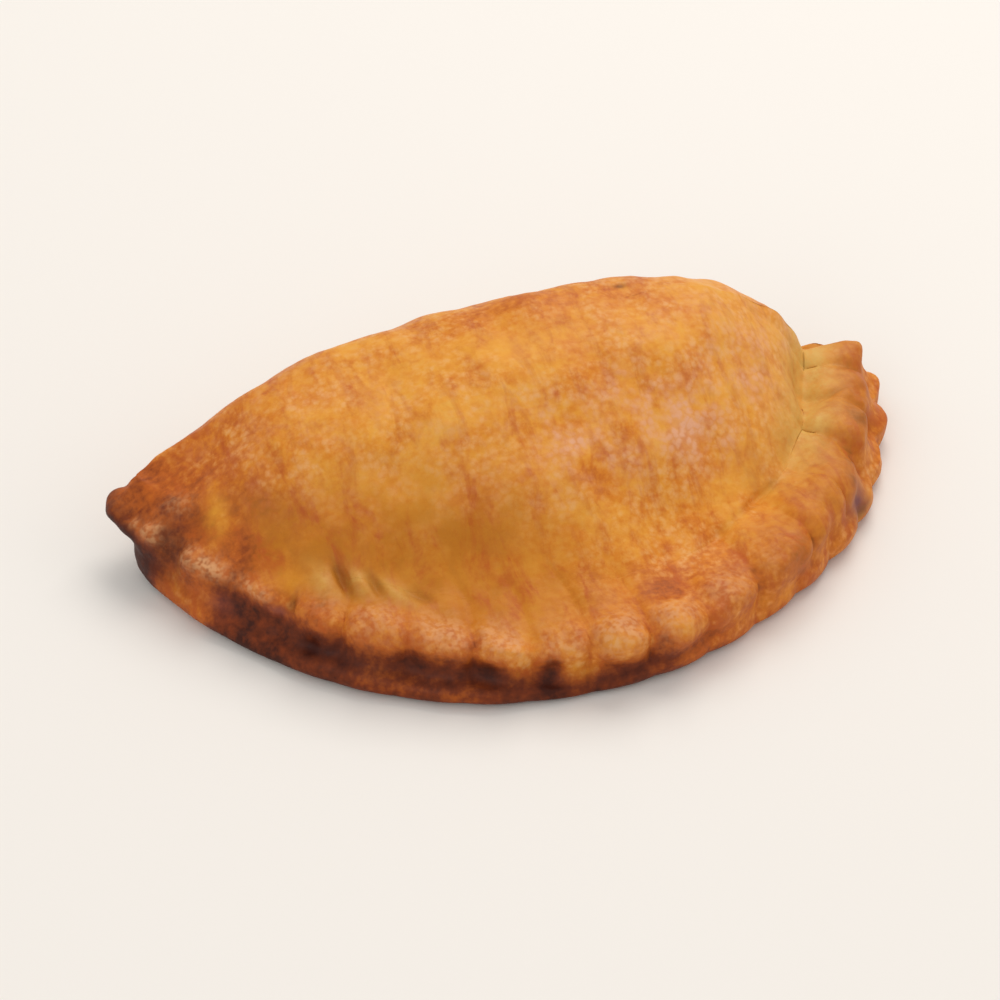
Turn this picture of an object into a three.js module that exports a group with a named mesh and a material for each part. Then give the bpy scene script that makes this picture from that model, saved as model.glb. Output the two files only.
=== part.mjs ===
// A baked half-moon turnover: a round of dough folded over its filling, the open edge crimped shut.
// Millimetres, +Z up. The tips lie along X, the crimped edge faces -Y, the folded edge faces +Y.
// The surface is a set of columns that run from the ridge on top, over the dome, across the
// crimped rim and down to the flat base. Lengths along the rim are measured from the left tip.
import * as THREE from "three";
import { mergeVertices } from "three/addons/utils/BufferGeometryUtils.js";

// Plan of the folded dough
const DISC_RADIUS = 74;
const LEFT_TIP = THREE.MathUtils.degToRad(-173.9);
const RIGHT_TIP = THREE.MathUtils.degToRad(-8.7);
const FOLD_BULGE = 14.5;
const TIP_SHARPNESS = 20;

// Ridge of the dome in plan, and the line the columns spread out from at the rim
const RIDGE = { left: [-65.9, -7.7], right: [19.5, -14] };
const SPREAD = { left: [-58, -18], right: [46, -13] };
const RIDGE_EVENNESS = 0.06;

// Heights of the ridge at equal steps from its left end to its right end
const RIDGE_HEIGHT = [17.8, 24.9, 32.3, 34.2, 35.2, 38.4, 37.2];

// Sizes of the rim at seven equal steps from the left tip to the right tip
const RIM = {
  width: [3.5, 11.5, 15.4, 14.7, 14.3, 17, 15.3],
  valleyHeight: [17.2, 14.4, 11, 10.5, 9.8, 8.8, 12],
  crestHeight: [13.4, 11.8, 11.5, 11.3, 11.8, 12.6, 13.4],
  edgeHeight: [9.8, 9.2, 8.9, 8.2, 8.4, 9.3, 9.4],
  edgeInset: [-3, 5.6, 4.4, 0.5, 1.8, 5.2, 4.2],
  grooveHeight: [8, 5.2, 4.8, 4.6, 5, 6.2, 6.2],
  grooveDepth: [0.8, 0.5, 1.6, 1, 0.1, 0, 0],
  lipHeight: [4, 3, 2.6, 2.4, 3.2, 4.6, 4.8],
  lipReach: [0.6, -0.7, 1.1, 0.7, -2.4, -0.4, -0.2],
  crimpDepth: [0.2, 0.6, 1, 1.1, 1, 1.1, 1.1],
  pleatDepth: [0.1, 0.4, 0.8, 0.2, 0.2, 1, 1.2],
  lobeDepth: [0.1, 0.2, 0.3, 0.5, 1.2, 2, 2],
  filletHeight: [0, 0.3, 1, 1.6, 1.6, 0.8, 0.3],
};

// Crimps: where each ridge lies along the rim, how far it leans over from row to row, and how
// flat it is on top. Lobes: the same for the lip under the crimps.
const CRIMPS = [
  15, 28, 40.5, 53.5, 66, 77.5, 89, 98, 108.5, 120, 131.5, 146, 160.5, 172.5, 187, 199.5, 212, 224,
];
const CRIMP_LEAN = 0.02;
const CRIMP_ROUNDNESS = 3;
const CRIMP_SWELL = 0.35;
const LOBE_PITCH = 11.25;
const LOBE_START = 7;
const LOBE_ROUNDNESS = 2;

// The filled corner between dome and rim, and how far the foot is drawn in under the left tip
const FILLET_REACH = 4.6;
const TIP_DRAW = { depth: 5, middle: 3, half: 5.5 };

// Dome section: height falls as (1 - t^crown)^foot from ridge to valley, by twelfths of a turn
const DOME_CROWN = [2.2, 2.5, 2.6, 2.5, 2.6, 2.2, 1.8, 1.9, 2.3, 2.3, 2.3, 2.2];
const DOME_FOOT = [0.8, 1, 1.3, 1.3, 1.3, 0.6, 0.52, 0.5, 0.5, 0.5, 0.52, 0.6];
const ROW_EVENNESS = 0.2;

// Folded edge at the back: a rounded side with no rim
const FOLD_HEIGHT = 13.5;
const FOLD_UNDERCUT = 11;
const FOLD_TURN_END = 0.86;
const FOLD_BASE_RUN = 30;
const FOLD_RISE = { left: 12, right: 26 };
const LEAST_TIP_FADE = 8;

// Flat base: how far it runs in from the foot, and the height below which the dough lies pressed
// flat on the tray
const BASE_INSET = 7;
const PRESSED_FLAT = 0.4;

// Slow unevenness of the dough
const LUMP_SIZES = [41, 29, 21, 15.5, 11];
const LUMP_DEPTH = 0.013;
const UPRIGHT_REACH = [4, 0.8];

// Mesh
const FRONT_COLUMNS = 144;
const BACK_COLUMNS = FRONT_COLUMNS / 2;
const DOME_ROWS = 9;
const RIM_ROWS = 18;

const lerp = THREE.MathUtils.lerp;
const clamp = THREE.MathUtils.clamp;

function ease(from, to, x) {
  const t = clamp((x - from) / (to - from), 0, 1);
  return t * t * (3 - 2 * t);
}

// Bell round a middle
function band(middle, half, x) {
  return Math.exp(-(((x - middle) / half) ** 2));
}

// Weights of the four control values round a point on a uniform cubic B-spline
function splineWeights(t) {
  const u = 1 - t;
  return [u ** 3 / 6, (3 * t ** 3 - 6 * t ** 2 + 4) / 6, (3 * u ** 3 - 6 * u ** 2 + 4) / 6, t ** 3 / 6];
}

// Value of a size at a share q of the way along an open run of stations
function along(values, q) {
  const last = values.length - 1;
  const padded = [2 * values[0] - values[1], ...values, 2 * values[last] - values[last - 1]];
  const x = clamp(q, 0, 1) * last;
  const i = Math.min(Math.floor(x), last - 1);
  return splineWeights(x - i).reduce((sum, weight, k) => sum + weight * padded[i + k], 0);
}

// Value of a size at a share of a full turn round a closed run of stations
function around(values, turn) {
  const count = values.length;
  const x = turn * count;
  const i = Math.floor(x);
  const value = (k) => values[(i + k - 1 + count) % count];
  return splineWeights(x - i).reduce((sum, weight, k) => sum + weight * value(k), 0);
}

// Outline in plan: the arc of the disc and the arc of the fold, met at rounded tips
function outlinePoint(angle) {
  const left = new THREE.Vector2(Math.cos(LEFT_TIP), Math.sin(LEFT_TIP)).multiplyScalar(DISC_RADIUS);
  const right = new THREE.Vector2(Math.cos(RIGHT_TIP), Math.sin(RIGHT_TIP)).multiplyScalar(DISC_RADIUS);
  const half = left.distanceTo(right) / 2;
  const foldRadius = (half ** 2 + FOLD_BULGE ** 2) / (2 * FOLD_BULGE);
  const chord = right.clone().sub(left).normalize();
  const backward = new THREE.Vector2(-chord.y, chord.x);
  const centre = left.clone().lerp(right, 0.5).addScaledVector(backward, FOLD_BULGE - foldRadius);
  const ray = new THREE.Vector2(Math.cos(angle), Math.sin(angle));
  const reach = centre.dot(ray);
  const foldReach = Math.max(reach + Math.sqrt(foldRadius ** 2 - centre.lengthSq() + reach ** 2), 1);
  const radius = (DISC_RADIUS ** -TIP_SHARPNESS + foldReach ** -TIP_SHARPNESS) ** (-1 / TIP_SHARPNESS);
  return ray.multiplyScalar(radius);
}

// Points equally spaced along one side of the outline, the last one left out
function outlineSide(from, to, count) {
  const fine = 3000;
  const points = Array.from({ length: fine + 1 }, (_, i) => outlinePoint(lerp(from, to, i / fine)));
  const run = [0];
  for (let i = 0; i < fine; i++) {
    run.push(run[i] + points[i + 1].distanceTo(points[i]));
  }
  const length = run[fine];
  const side = [];
  let i = 0;
  for (let k = 0; k < count; k++) {
    const target = (length * k) / count;
    while (run[i + 1] < target) {
      i += 1;
    }
    const t = (target - run[i]) / (run[i + 1] - run[i]);
    side.push({ point: points[i].clone().lerp(points[i + 1], t), distance: target });
  }
  return { side, length };
}

// Number of the crimp at a distance along the rim, counted on between crimps
function crimpNumber(distance) {
  const last = CRIMPS.length - 1;
  const i = clamp(CRIMPS.findIndex((centre) => centre > distance) - 1, -1, last - 1);
  const start = distance >= CRIMPS[last] ? last - 1 : Math.max(i, 0);
  return start + (distance - CRIMPS[start]) / (CRIMPS[start + 1] - CRIMPS[start]);
}

// Rounded ridge at every whole number with a sharp notch half-way between, zero on average
function ridgeWave(number, roundness) {
  const off = Math.abs(number - Math.round(number)) * 2;
  return roundness / (roundness + 1) - off ** roundness;
}

// Height that fills the corner between dome and rim at a distance away from the valley
function fillet(q, away) {
  return along(RIM.filletHeight, q) * band(0, FILLET_REACH, away);
}

// Section of the rim: control rows from the valley over the crest to the edge, groove, lip and foot.
// Each has a reach from the outline, a height, and its share of the crimp, pleat and lobe relief.
function rimSection(q, crimp, distance) {
  const size = Object.fromEntries(Object.entries(RIM).map(([name, values]) => [name, along(values, q)]));
  const { width, grooveDepth: cut } = size;
  const [valley, crest, top, groove, lip] = [
    size.valleyHeight, size.crestHeight, size.edgeHeight, size.grooveHeight, size.lipHeight,
  ];
  const edge = -size.edgeInset;
  const drawn = TIP_DRAW.depth * band(TIP_DRAW.middle, TIP_DRAW.half, distance);
  const foot = size.lipReach - drawn;
  const rise = crest - valley;
  const shelf = (share) => lerp(-width, edge, share);
  const side = (share) => lerp(edge, foot, share);
  const lobe = ridgeWave((distance - LOBE_START) / LOBE_PITCH, LOBE_ROUNDNESS);
  const row = (reach, height, out, up, pleat, lobed) => ({ reach, height, out, up, pleat, lobed });
  const rows = [
    row(-width, valley, 0, 0.1, 1, 0),
    row(shelf(0.18), valley + 0.2 * rise, 0.1, 0.3, 0.9, 0),
    row(shelf(0.42), valley + 0.75 * rise, 0.1, 0.15, 0.7, 0),
    row(shelf(0.66), crest + 0.4, 0.2, 0.4, 0.3, 0),
    row(shelf(0.86), crest - 0.4, 0.6, 0.85, 0, 0),
    row(edge + 0.2, 0.6 * crest + 0.4 * top, 1, 0.9, 0, 0),
    row(edge + 0.5, top - 0.2, 1, 0.6, 0, 0.1),
    row(side(0.2) - 0.3 * cut, (top + groove) / 2, 0.85, 0.2, 0, 0.25),
    row(side(0.55) - cut, groove, 0.5, 0, 0, 0.5),
    row(side(0.75) - 0.3 * cut, (groove + lip + 1) / 2, 0.15, 0, 0, 0.8),
    row(foot, lip + 0.6, 0, 0, 0, 1),
    row(foot, 0.4 * lip, 0, 0, 0, 0.8),
    row(foot - 2.2, 0, 0, 0, 0, 0.2),
    row(foot - BASE_INSET, 0, 0, 0, 0, 0),
  ];
  const swell = 1 + CRIMP_SWELL * Math.sin(2.4 * crimp + 0.7);
  return rows.map(({ reach, height, out, up, pleat, lobed }, k) => {
    const crimped = swell * ridgeWave(crimp + CRIMP_LEAN * (k - 3), CRIMP_ROUNDNESS);
    const lift = 1.3 * size.crimpDepth * up + 0.9 * size.pleatDepth * pleat;
    return {
      reach: reach + 1.5 * size.crimpDepth * out * crimped + size.lobeDepth * lobed * lobe,
      height: height + lift * crimped,
    };
  });
}

// Section of the folded edge: a quarter turn from its widest line down to the base, then in
function foldSection(k, count) {
  const t = k / (count - 1);
  const turn = (Math.min(t / FOLD_TURN_END, 1) * Math.PI) / 2;
  const run = FOLD_BASE_RUN * Math.max(t - FOLD_TURN_END, 0);
  return {
    reach: -FOLD_UNDERCUT * (1 - Math.cos(turn)) - run,
    height: FOLD_HEIGHT * (1 - Math.sin(turn)),
  };
}

// One column of the surface, from the ridge to the foot. The rim's inner line stays concentric with
// the disc, so its reach fades as the outline draws in; its heights fade by heightShare.
function column(outline, q, turn, distance, heightShare) {
  const share = RIDGE_EVENNESS * q + (1 - RIDGE_EVENNESS) * (0.5 - 0.5 * Math.cos(Math.PI * q));
  const ridgeLine = new THREE.Vector2(...RIDGE.right).sub(new THREE.Vector2(...RIDGE.left));
  const ridge = new THREE.Vector2(...RIDGE.left).addScaledVector(ridgeLine, share);
  const ridgeHeight = along(RIDGE_HEIGHT, share);
  const step = 0.001;
  const [before, after] = [Math.max(share - step, 0), Math.min(share + step, 1)];
  const climb = along(RIDGE_HEIGHT, after) - along(RIDGE_HEIGHT, before);
  const slope = climb / ((after - before) * ridgeLine.length());
  const ridgeWay = ridgeLine.clone().normalize();
  const spread = new THREE.Vector2(...SPREAD.left).lerp(new THREE.Vector2(...SPREAD.right), q);
  const outward = outline.clone().sub(spread).normalize();

  const drawnIn = (DISC_RADIUS - outline.length()) / Math.max(along(RIM.width, q), LEAST_TIP_FADE);
  const reachShare = Math.max(1 - drawnIn / 1.5, 0) ** 1.5;
  const rimness = heightShare * reachShare;
  const rows = rimSection(q, crimpNumber(distance), distance);
  const controls = rows.map((row, k) => {
    const fold = foldSection(k, rows.length);
    const reach = lerp(fold.reach, row.reach, reachShare);
    const plain = Math.max(lerp(fold.height, row.height, heightShare), 0);
    const height = plain + rimness * fillet(q, reach + along(RIM.width, q)) * ease(2, 8, plain);
    return new THREE.Vector3(outline.x + reach * outward.x, outline.y + reach * outward.y, height);
  });
  const padded = [controls[0], controls[0], ...controls, controls.at(-1), controls.at(-1)];
  const spans = padded.length - 3;
  const rim = Array.from({ length: RIM_ROWS }, (_, row) => {
    const x = (row / (RIM_ROWS - 1)) * spans;
    const i = Math.min(Math.floor(x), spans - 1);
    const point = new THREE.Vector3();
    splineWeights(x - i).forEach((weight, k) => point.addScaledVector(padded[i + k], weight));
    return point.z < PRESSED_FLAT ? point.setZ(0) : point;
  });

  const valleyReach = -along(RIM.width, q) * reachShare;
  const quiet = new THREE.Vector3(
    outline.x + valleyReach * outward.x,
    outline.y + valleyReach * outward.y,
    lerp(FOLD_HEIGHT, along(RIM.valleyHeight, q), heightShare),
  );
  const relief = rim[0].clone().sub(quiet);
  relief.z -= rimness * fillet(q, 0);
  const crown = around(DOME_CROWN, turn);
  const foot = around(DOME_FOOT, turn);
  const dome = Array.from({ length: DOME_ROWS }, (_, row) => {
    const u = row / DOME_ROWS;
    const t = lerp(Math.sin((u * Math.PI) / 2), u, ROW_EVENNESS);
    const valley = new THREE.Vector2(quiet.x, quiet.y);
    const plan = ridge.clone().lerp(valley, t);
    const fall = (1 - t ** crown) ** foot;
    const tilt = slope * plan.clone().sub(ridge).dot(ridgeWay) * (1 - t) ** 2;
    const filled = rimness * fillet(q, plan.distanceTo(valley));
    const height = lerp(quiet.z, ridgeHeight, fall) + tilt + filled;
    return new THREE.Vector3(plan.x, plan.y, height).addScaledVector(relief, t ** 8);
  });
  return [...dome, ...rim];
}

// All columns in order: along the crimped front from the left tip, then back along the fold
function surfaceColumns() {
  const front = outlineSide(LEFT_TIP, RIGHT_TIP, FRONT_COLUMNS);
  const back = outlineSide(RIGHT_TIP, LEFT_TIP + 2 * Math.PI, BACK_COLUMNS);
  const frontColumns = front.side.map(({ point, distance }) => {
    const q = distance / front.length;
    return column(point, q, q / 2, distance, 1);
  });
  const backColumns = back.side.map(({ point, distance }) => {
    const left = back.length - distance;
    const heightShare = 1 - Math.min(ease(0, FOLD_RISE.left, left), ease(0, FOLD_RISE.right, distance));
    const runOn = distance < left ? front.length + distance : -left;
    const q = left / back.length;
    return column(point, q, 0.5 + (1 - q) / 2, runOn, heightShare);
  });
  return [...frontColumns, ...backColumns];
}

// Slow unevenness at a point, as a sum of waves of falling size that run in spread directions
function lumps(point) {
  return LUMP_SIZES.reduce((sum, size, k) => {
    const way = new THREE.Vector3(Math.cos(2.4 * k), Math.sin(2.4 * k), 0.6 * Math.sin(1.7 * k + 1));
    return sum + LUMP_DEPTH * size * Math.sin((2 * Math.PI * way.dot(point)) / size + 1.3 * k * k + 0.5);
  }, 0);
}

// The same columns with the unevenness added square to the surface, straight up near the ridge and
// fading to nothing at the base
function unevenColumns(columns) {
  const count = columns.length;
  return columns.map((rows, j) => {
    const next = columns[(j + 1) % count];
    const previous = columns[(j + count - 1) % count];
    return rows.map((point, i) => {
      const down = rows[Math.min(i + 1, rows.length - 1)].clone().sub(rows[Math.max(i - 1, 0)]);
      const aside = next[i].clone().sub(previous[i]);
      const upright = ease(...UPRIGHT_REACH, point.distanceTo(rows[0]));
      const normal = down.cross(aside).normalize().lerp(new THREE.Vector3(0, 0, 1), upright).normalize();
      return point.clone().addScaledVector(normal, lumps(point) * ease(0.5, 5, point.z));
    });
  });
}

// Faces of the closed surface: strips between columns, the ridge seam and the flat base
function turnoverGeometry() {
  const columns = unevenColumns(surfaceColumns());
  const count = columns.length;
  const last = columns[0].length - 1;
  const ridge = Array.from({ length: FRONT_COLUMNS + 1 }, (_, j) => columns[j][0]);
  const triangles = [];
  const addTriangle = (...corners) => triangles.push(...corners.flatMap((corner) => corner.toArray()));
  const addQuad = (a, b, c, d) => {
    addTriangle(a, b, c);
    addTriangle(a, c, d);
  };
  for (let j = 0; j < count; j++) {
    const here = columns[j];
    const there = columns[(j + 1) % count];
    if (j < FRONT_COLUMNS) {
      addQuad(ridge[j], here[1], there[1], ridge[j + 1]);
    } else {
      const start = FRONT_COLUMNS - 2 * (j - FRONT_COLUMNS);
      addTriangle(ridge[start], here[1], ridge[start - 1]);
      addTriangle(ridge[start - 1], here[1], there[1]);
      addTriangle(ridge[start - 1], there[1], ridge[start - 2]);
    }
    for (let i = 1; i < last; i++) {
      addQuad(here[i], here[i + 1], there[i + 1], there[i]);
    }
  }
  const box = new THREE.Box3().setFromArray(triangles);
  const centre = box.getCenter(new THREE.Vector3()).setZ(0);
  for (let j = 0; j < count; j++) {
    addTriangle(columns[j][last], centre, columns[(j + 1) % count][last]);
  }
  const geometry = new THREE.BufferGeometry();
  geometry.setAttribute("position", new THREE.Float32BufferAttribute(triangles, 3));
  geometry.translate(-centre.x, -centre.y, 0);
  const solid = mergeVertices(geometry, 1e-4);
  solid.computeVertexNormals();
  return solid;
}

const crust = new THREE.MeshStandardMaterial({ color: 0xc98238, roughness: 0.6, metalness: 0 });
crust.name = "crust";
const turnover = new THREE.Mesh(turnoverGeometry(), crust);
turnover.name = "turnover";

const part = new THREE.Group();
part.name = "crimped_turnover";
part.add(turnover);

export default part;
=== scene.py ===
"""Dresses a baked half-moon turnover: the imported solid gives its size, this file its crust.

The surface is worked out in millimetres as columns that run from the ridge on top, over the dome,
across the crimped rim and down to the flat base. The centre of the dough disc is at zero there.
The finished mesh is moved to the frame's middle and turned to metres.
"""

import logging
import math
from dataclasses import dataclass, field
from enum import Enum

import bpy
import numpy as np
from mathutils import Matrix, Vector


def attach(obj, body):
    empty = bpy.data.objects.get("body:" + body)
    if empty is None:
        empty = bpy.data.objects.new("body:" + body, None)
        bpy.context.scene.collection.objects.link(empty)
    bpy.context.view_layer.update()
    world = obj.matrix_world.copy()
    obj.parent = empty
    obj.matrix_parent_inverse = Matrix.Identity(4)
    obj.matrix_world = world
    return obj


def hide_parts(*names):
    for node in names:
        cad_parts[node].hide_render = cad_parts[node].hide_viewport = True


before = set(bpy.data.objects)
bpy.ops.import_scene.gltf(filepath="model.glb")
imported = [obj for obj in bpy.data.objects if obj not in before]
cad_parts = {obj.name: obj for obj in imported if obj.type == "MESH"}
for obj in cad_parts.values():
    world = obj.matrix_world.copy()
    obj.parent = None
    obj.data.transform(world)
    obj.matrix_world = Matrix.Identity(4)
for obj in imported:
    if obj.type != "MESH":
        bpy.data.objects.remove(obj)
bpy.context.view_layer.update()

Array = np.ndarray
Point = tuple[float, float, float]
log = logging.getLogger("turnover")

MM = 0.001

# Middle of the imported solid's box in plan, round the disc's centre, mm
BOX_MIDDLE = (-1.113, -34.670)

# Factors and shifts that mix whole numbers to even-spread bits
AXIS_PRIMES = (73856093, 19349663, 83492791)
SEED_PRIME = 2654435761
LOW_BITS = 0xFFFFFFFF
BIT_MIXES = ((16, 0x7FEB352D), (15, 0x846CA68B), (16, 0x9E3779B1))

# How far each set of waves is moved from the last, and how far a blister strays from its cube's
# middle, both in cubes
SET_SHIFT = 0.37
STRAY = 0.42


def ease(start: float, stop: float, x: Array) -> Array:
    """A smooth step: 3 t squared less 2 t cubed, with t the share of the way from start to stop.

    Args:
        start: value of x where the step leaves 0.
        stop: value of x where it reaches 1.
        x: values to ease.

    Returns:
        The eased values, 0 to 1.
    """
    t = np.clip((np.asarray(x, float) - start) / (stop - start), 0.0, 1.0)
    return t * t * (3.0 - 2.0 * t)


def band(middle: float, half: float, x: Array) -> Array:
    """A bell round the middle: e to the minus square of the distance over the half width."""
    return np.exp(-(((x - middle) / half) ** 2))


def mix(a: Array, b: Array, share: Array) -> Array:
    """Goes from a to b in a straight line by the share."""
    return a + (b - a) * share


def unit(vectors: Array) -> Array:
    """Each vector divided by its own length."""
    length = np.linalg.norm(vectors, axis=-1, keepdims=True)
    return vectors / np.maximum(length, 1e-9)


def spline_weights(t: Array) -> Array:
    """Weights of the four control values round a point of a uniform cubic B-spline."""
    u = 1.0 - t
    return np.array(
        [
            u**3,
            3.0 * t**3 - 6.0 * t**2 + 4.0,
            3.0 * u**3 - 6.0 * u**2 + 4.0,
            t**3,
        ]
    ) / 6.0


def along(values: tuple[float, ...], share: Array) -> Array:
    """A size read off an open run of stations, as a cubic B-spline run on straight at both ends.

    Args:
        values: the size at equal steps.
        share: how far along the run, 0 to 1.

    Returns:
        The size at each share.
    """
    v = np.asarray(values, float)
    padded = np.concatenate([[2 * v[0] - v[1]], v, [2 * v[-1] - v[-2]]])
    last = len(v) - 1
    x = np.clip(share, 0.0, 1.0) * last
    i = np.minimum(np.floor(x).astype(int), last - 1)
    weights = spline_weights(x - i)
    return sum(weights[k] * padded[i + k] for k in range(4))


def around(values: tuple[float, ...], turn: Array) -> Array:
    """A size read off a closed run of stations, as a cubic B-spline that joins its own start.

    Args:
        values: the size at equal parts of a turn.
        turn: how far round, 0 to 1.

    Returns:
        The size at each place.
    """
    v = np.asarray(values, float)
    x = turn * len(v)
    i = np.floor(x).astype(int)
    weights = spline_weights(x - i)
    return sum(weights[k] * v[(i + k - 1) % len(v)] for k in range(4))


def lattice(corner: Array, seed: int) -> Array:
    """A fixed value from -1 to 1 for each whole-number point, by mixing the bits of its numbers.

    Args:
        corner: whole-number points, last axis of three.
        seed: which set of values.

    Returns:
        One value for each point.
    """
    c = corner.astype(np.int64) * AXIS_PRIMES
    h = c[..., 0] ^ c[..., 1] ^ c[..., 2] ^ seed * SEED_PRIME
    h = (h & LOW_BITS).astype(np.uint64)
    for shift, factor in BIT_MIXES:
        h = ((h ^ (h >> np.uint64(shift))) * np.uint64(factor)) & np.uint64(LOW_BITS)
    return h.astype(float) / (LOW_BITS / 2) - 1.0


def waves(points: Array, size: float, seed: int) -> Array:
    """Smooth unevenness: values at the corners of cubes of one size, eased together inside each.

    The easing is 6 t to the fifth less 15 t to the fourth plus 10 t cubed.

    Args:
        points: places, mm.
        size: side of a cube, mm.
        seed: which set of values.

    Returns:
        Values from about -1 to 1.
    """
    p = points / size + SET_SHIFT * seed
    base = np.floor(p)
    t = p - base
    t = t**3 * (t * (6.0 * t - 15.0) + 10.0)
    total = np.zeros(points.shape[:-1])
    for i in range(8):
        step = np.array([i & 1, (i >> 1) & 1, i >> 2])
        weight = np.prod(np.where(step == 1, t, 1.0 - t), axis=-1)
        total += weight * lattice(base + step, seed)
    return total


def blisters(points: Array, size: float, seed: int) -> Array:
    """Round cells: one less the distance to the nearest of the points strewn one to a cube.

    Args:
        points: places, mm.
        size: side of a cube, mm.
        seed: which set of points.

    Returns:
        About 1 on top of a cell, falling to about 0 between cells.
    """
    p = points / size
    base = np.floor(p)
    nearest = np.full(points.shape[:-1], 9.0)
    for i in range(27):
        cell = base + np.array([i % 3, (i // 3) % 3, i // 9]) - 1.0
        shift = np.stack([lattice(cell, seed + k) for k in range(3)], axis=-1)
        away = np.linalg.norm(cell + 0.5 + STRAY * shift - p, axis=-1)
        nearest = np.minimum(nearest, away)
    return np.clip(1.0 - nearest, 0.0, 1.0)


class Tint(Enum):
    """What the baking and the filling left on the crust, with painted shade, sheen and highlights,
    each kept as an attribute of the mesh.
    """

    BROWN_AND_SHADE = "brown"
    PALE = "pale"
    GOLD = "gold"
    HAZE_AND_SHEEN = "haze_and_sheen"
    CRUMB_AND_HIGHLIGHT = "crumb_and_highlight"
    STAIN_AND_SHADE = "stain_and_shade"
    PLUM = "plum"
    GLAZE = "glaze"


@dataclass(frozen=True)
class Mark:
    """A local pit, slit, bump or patch: an oval bell round a point of the surface.

    at and way are in mm round the disc's centre; depth is in mm, outward where it is above zero.
    """

    at: Point
    length: float
    width: float
    way: Point
    depth: float
    tint: Tint
    strength: float

    def share(self, points: Array) -> Array:
        """How much of the mark each point has.

        The bell is e to the minus sum of the squares of two distances: along the way over the
        length, and square to it over the width.

        Args:
            points: places, mm.

        Returns:
            0 to 1 for each point.
        """
        way = np.array(self.way) / np.linalg.norm(self.way)
        off = points - np.array(self.at)
        run = off @ way
        aside = np.maximum((off**2).sum(-1) - run**2, 0.0)
        return np.exp(-((run / self.length) ** 2) - aside / self.width**2)


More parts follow.
